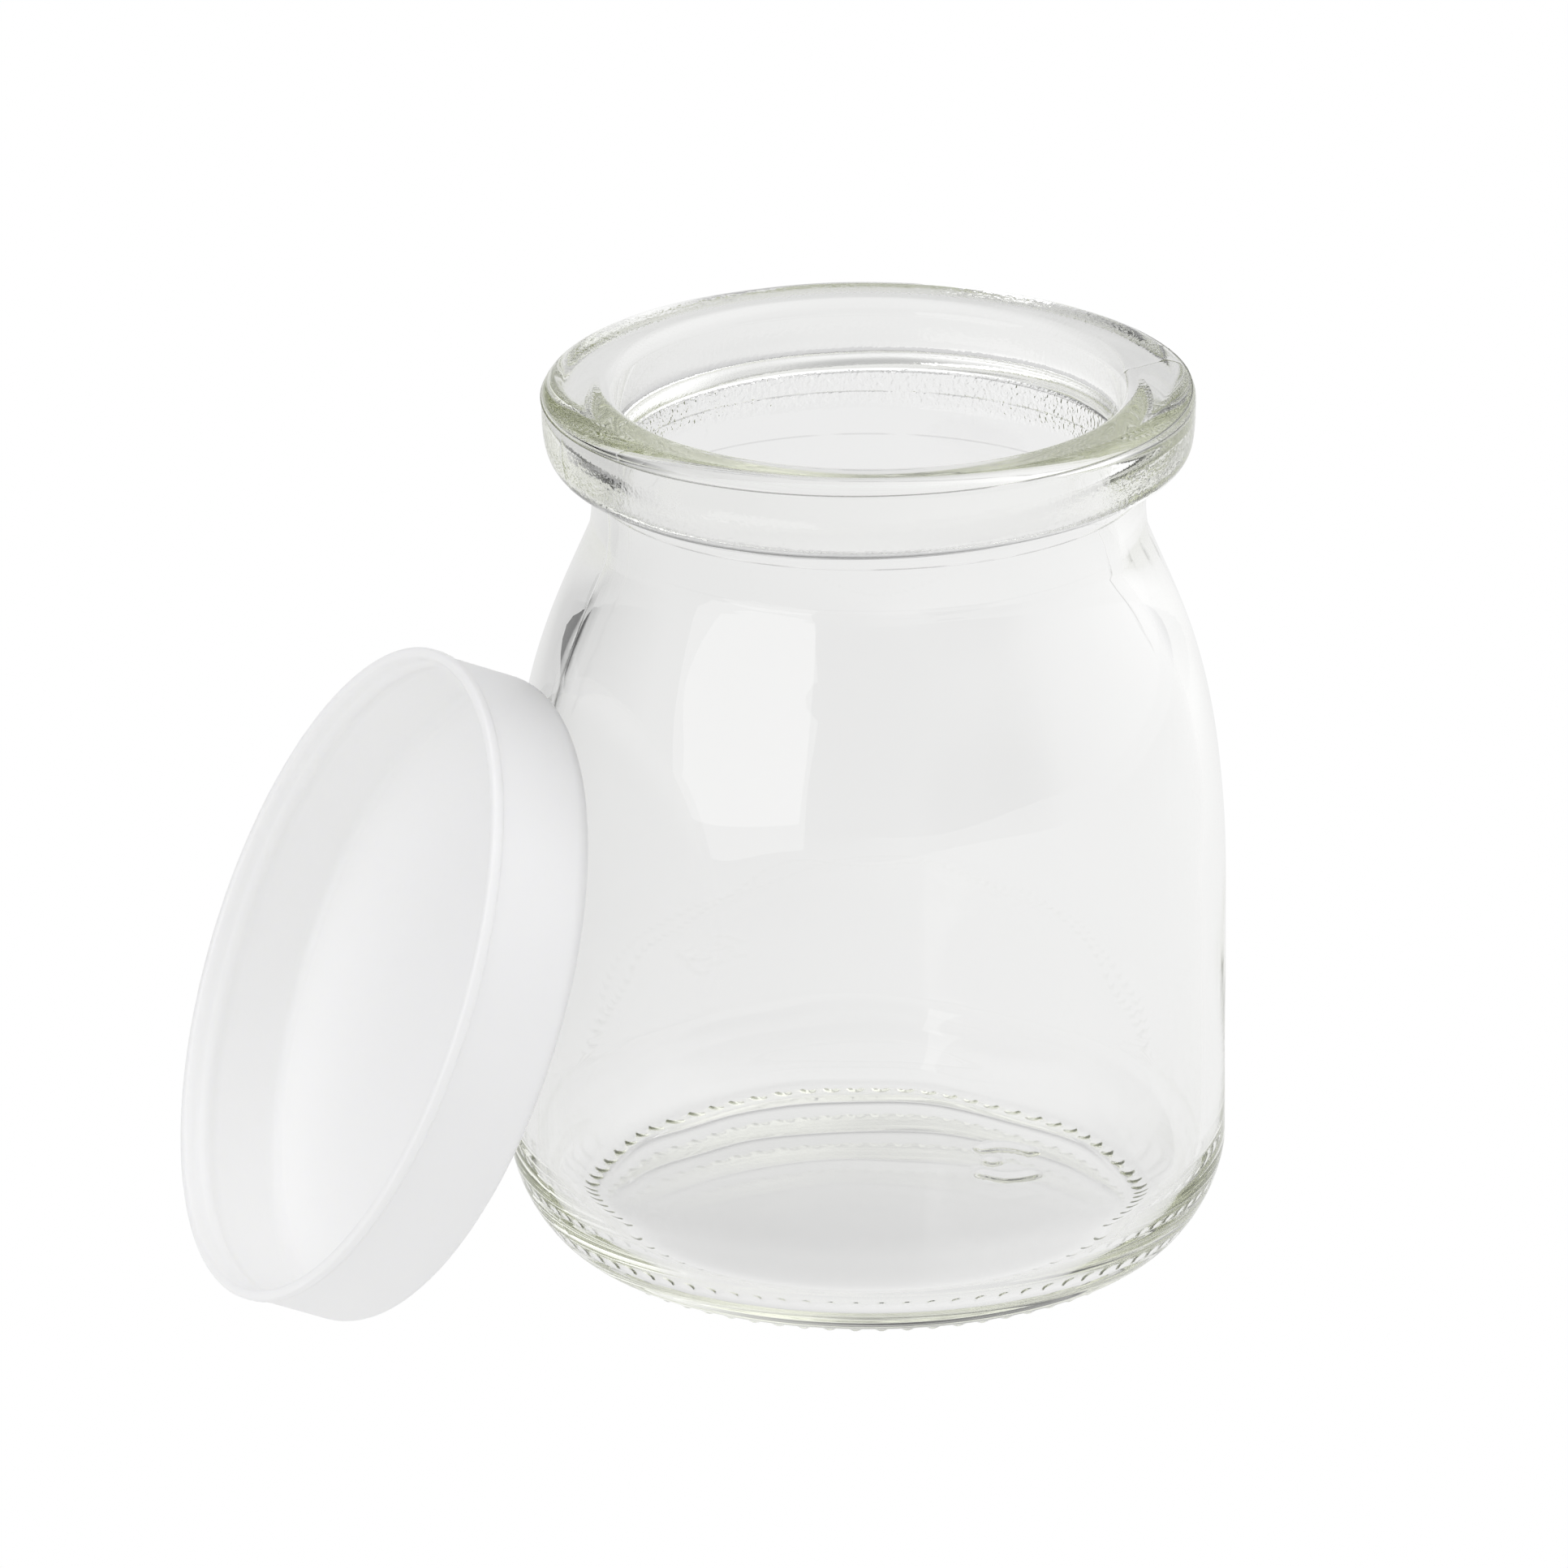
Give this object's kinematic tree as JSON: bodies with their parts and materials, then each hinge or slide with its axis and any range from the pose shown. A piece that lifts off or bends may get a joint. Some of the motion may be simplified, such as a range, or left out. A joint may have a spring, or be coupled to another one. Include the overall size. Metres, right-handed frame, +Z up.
{
  "type": "single-serve glass jar with push-on lid",
  "caption": "Empty clear glass single-serve jar with a thick rolled rim, tapered shoulder and knurled base ring, its milky push-on plastic lid leaning against it.",
  "frame": {"origin": "bottom centre of the box round the jar and its leaning lid, on the surface they stand on", "axes": "+Z up along the jar's axis, +X from the lid towards the jar"},
  "size_m": [0.1034, 0.086, 0.0882],
  "materials": {
    "clear_glass": "clear soda-lime glass, pressed and blown, fire polished, with faint mould seams and slight waviness",
    "milky_plastic": "translucent milky polyethylene, injection moulded, satin"
  },
  "bodies": {
    "root": {"jar": "clear_glass", "lid": "milky_plastic"}
  },
  "joints": []
}
